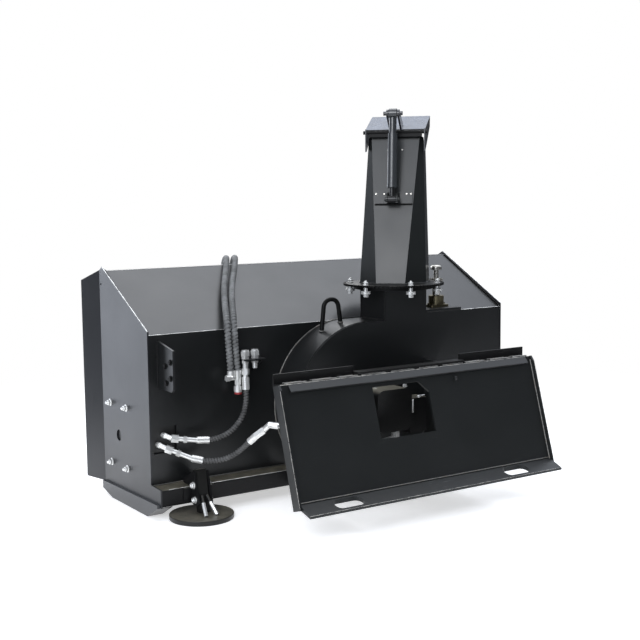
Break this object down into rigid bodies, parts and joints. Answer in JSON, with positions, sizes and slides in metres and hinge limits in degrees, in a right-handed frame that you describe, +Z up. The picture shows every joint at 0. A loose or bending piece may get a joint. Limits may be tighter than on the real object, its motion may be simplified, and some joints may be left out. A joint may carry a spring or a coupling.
{
  "type": "two-stage snowblower attachment",
  "caption": "Two-stage snowblower for a skid-steer loader: auger housing, fan, turning chute with tilting hood, quick-attach plate and ground feet.",
  "frame": {"origin": "on the ground, under the middle of the whole attachment", "axes": "+X right as seen from the loader's side, +Y forward to the auger mouth, +Z up"},
  "size_m": [1.714, 1.158, 1.4605],
  "materials": {
    "housing_paint": "satin black powder coat",
    "end_plate_paint": "satin black powder coat, lightly dusted",
    "beam_paint": "satin black, dusty on top",
    "shoe_paint": "satin black, scuffed",
    "mount_paint": "satin black powder coat",
    "lip_paint": "satin black, scratched",
    "rail_paint": "satin black, rough edges",
    "ring_paint": "satin black",
    "chute_paint": "satin dark grey-black powder coat",
    "hood_paint": "smooth satin black",
    "auger_paint": "satin black",
    "motor_paint": "black over rough casting",
    "drive_plate": "olive-yellow zinc plate, dusty",
    "foot_paint": "matt black, dusty",
    "cylinder_paint": "satin black",
    "rod_paint": "satin black",
    "zinc": "bright zinc plate",
    "worn_steel": "mill finish steel",
    "cast_bearing": "cast iron",
    "pinion_steel": "machined steel",
    "hose_rubber": "matt black hydraulic hose",
    "guard_plastic": "spiral hose guard, matt grey-black",
    "red_cap": "red dust cap"
  },
  "bodies": {
    "housing": {"back_plate": "housing_paint", "top_panel": "housing_paint", "left_end_plate": "end_plate_paint", "right_end_plate": "end_plate_paint", "floor_plate": "housing_paint", "cutting_edge": "worn_steel", "left_rear_beam": "beam_paint", "right_rear_beam": "beam_paint", "left_skid_shoe": "shoe_paint", "right_skid_shoe": "shoe_paint", "fan_drum_wrap": "housing_paint", "fan_rear_plate": "housing_paint", "chute_neck": "housing_paint", "neck_ring": "ring_paint", "lifting_eye": "ring_paint", "drive_bracket": "housing_paint", "chute_motor": "drive_plate", "park_bracket": "housing_paint", "park_bracket_bolts": "ring_paint", "port_bracket": "housing_paint", "port_fittings": "zinc", "port_caps": "zinc", "motor_hose_fittings": "zinc", "supply_fittings": "zinc", "supply_cap": "red_cap", "supply_couplers": "zinc", "motor_hose_a": "hose_rubber", "motor_hose_b": "hose_rubber", "supply_hose_left": "guard_plastic", "supply_hose_right": "guard_plastic", "auger_motor": "motor_paint", "auger_motor_bolts": "zinc", "auger_bearing": "cast_bearing", "fan_motor": "motor_paint", "mount_plate": "mount_paint", "mount_top_lip": "mount_paint", "mount_bottom_lip": "lip_paint", "mount_side_flanges": "mount_paint", "frame_arms": "mount_paint", "top_rails": "rail_paint", "foot_brackets": "beam_paint", "foot_clamp_bolts": "zinc"},
    "auger": {"auger_shaft": "auger_paint", "auger_flight_left": "auger_paint", "auger_flight_right": "auger_paint", "auger_paddles": "auger_paint"},
    "fan": {"fan_hub": "auger_paint", "fan_blades": "auger_paint"},
    "chute": {"chute_ring": "ring_paint", "ring_keepers": "zinc", "chute_shell": "chute_paint", "cylinder_bracket": "chute_paint", "hood_hinge_rod": "ring_paint", "chute_bolts": "zinc"},
    "hood": {"hood": "hood_paint"},
    "cylinder_rod": {"cylinder_rod": "rod_paint"},
    "cylinder_barrel": {"cylinder_barrel": "cylinder_paint"},
    "pinion": {"chute_pinion": "pinion_steel"},
    "left_foot": {"left_foot": "foot_paint"},
    "right_foot": {"right_foot": "foot_paint"}
  },
  "joints": [
    {"name": "auger_spin", "type": "hinge", "parent": "housing", "child": "auger", "pos_m": [0, 0.32, 0.248], "axis": [1, 0, 0], "continuous": true},
    {"name": "fan_spin", "type": "hinge", "parent": "housing", "child": "fan", "pos_m": [0, 0, 0.34], "axis": [0, 1, 0], "continuous": true},
    {"name": "chute_turn", "type": "hinge", "parent": "housing", "child": "chute", "pos_m": [0.192, -0.029, 0.784], "axis": [0, 0, 1], "range_deg": [-65, 155]},
    {"name": "pinion_spin", "type": "hinge", "parent": "housing", "child": "pinion", "pos_m": [0.407, -0.029, 0.784], "axis": [0, 0, 1], "range_deg": [-1335, 565]},
    {"name": "hood_tilt", "type": "hinge", "parent": "chute", "child": "hood", "pos_m": [0.23584, 0.01484, 1.373], "axis": [-0.7071, 0.7071, 0], "range_deg": [0, 35]},
    {"name": "cylinder_swing", "type": "hinge", "parent": "chute", "child": "cylinder_rod", "pos_m": [0.16372, -0.05728, 1.113], "axis": [-0.7071, 0.7071, 0], "range_deg": [0, 8]},
    {"name": "cylinder_stroke", "type": "slide", "parent": "cylinder_rod", "child": "cylinder_barrel", "axis": [0.0853, 0.0853, 0.9927], "range_m": [0, 0.033]},
    {"name": "left_foot_height", "type": "slide", "parent": "housing", "child": "left_foot", "axis": [0, 0.196, 0.9806], "range_m": [-0.03, 0.012]},
    {"name": "right_foot_height", "type": "slide", "parent": "housing", "child": "right_foot", "axis": [0, 0.196, 0.9806], "range_m": [-0.03, 0.012]}
  ],
  "couplings": [
    {"joint": "pinion_spin", "follows": "chute_turn", "ratio": -8.5556},
    {"joint": "cylinder_swing", "follows": "hood_tilt", "ratio": 0.2151},
    {"joint": "cylinder_stroke", "follows": "hood_tilt", "m_per_rad": 0.0525}
  ]
}
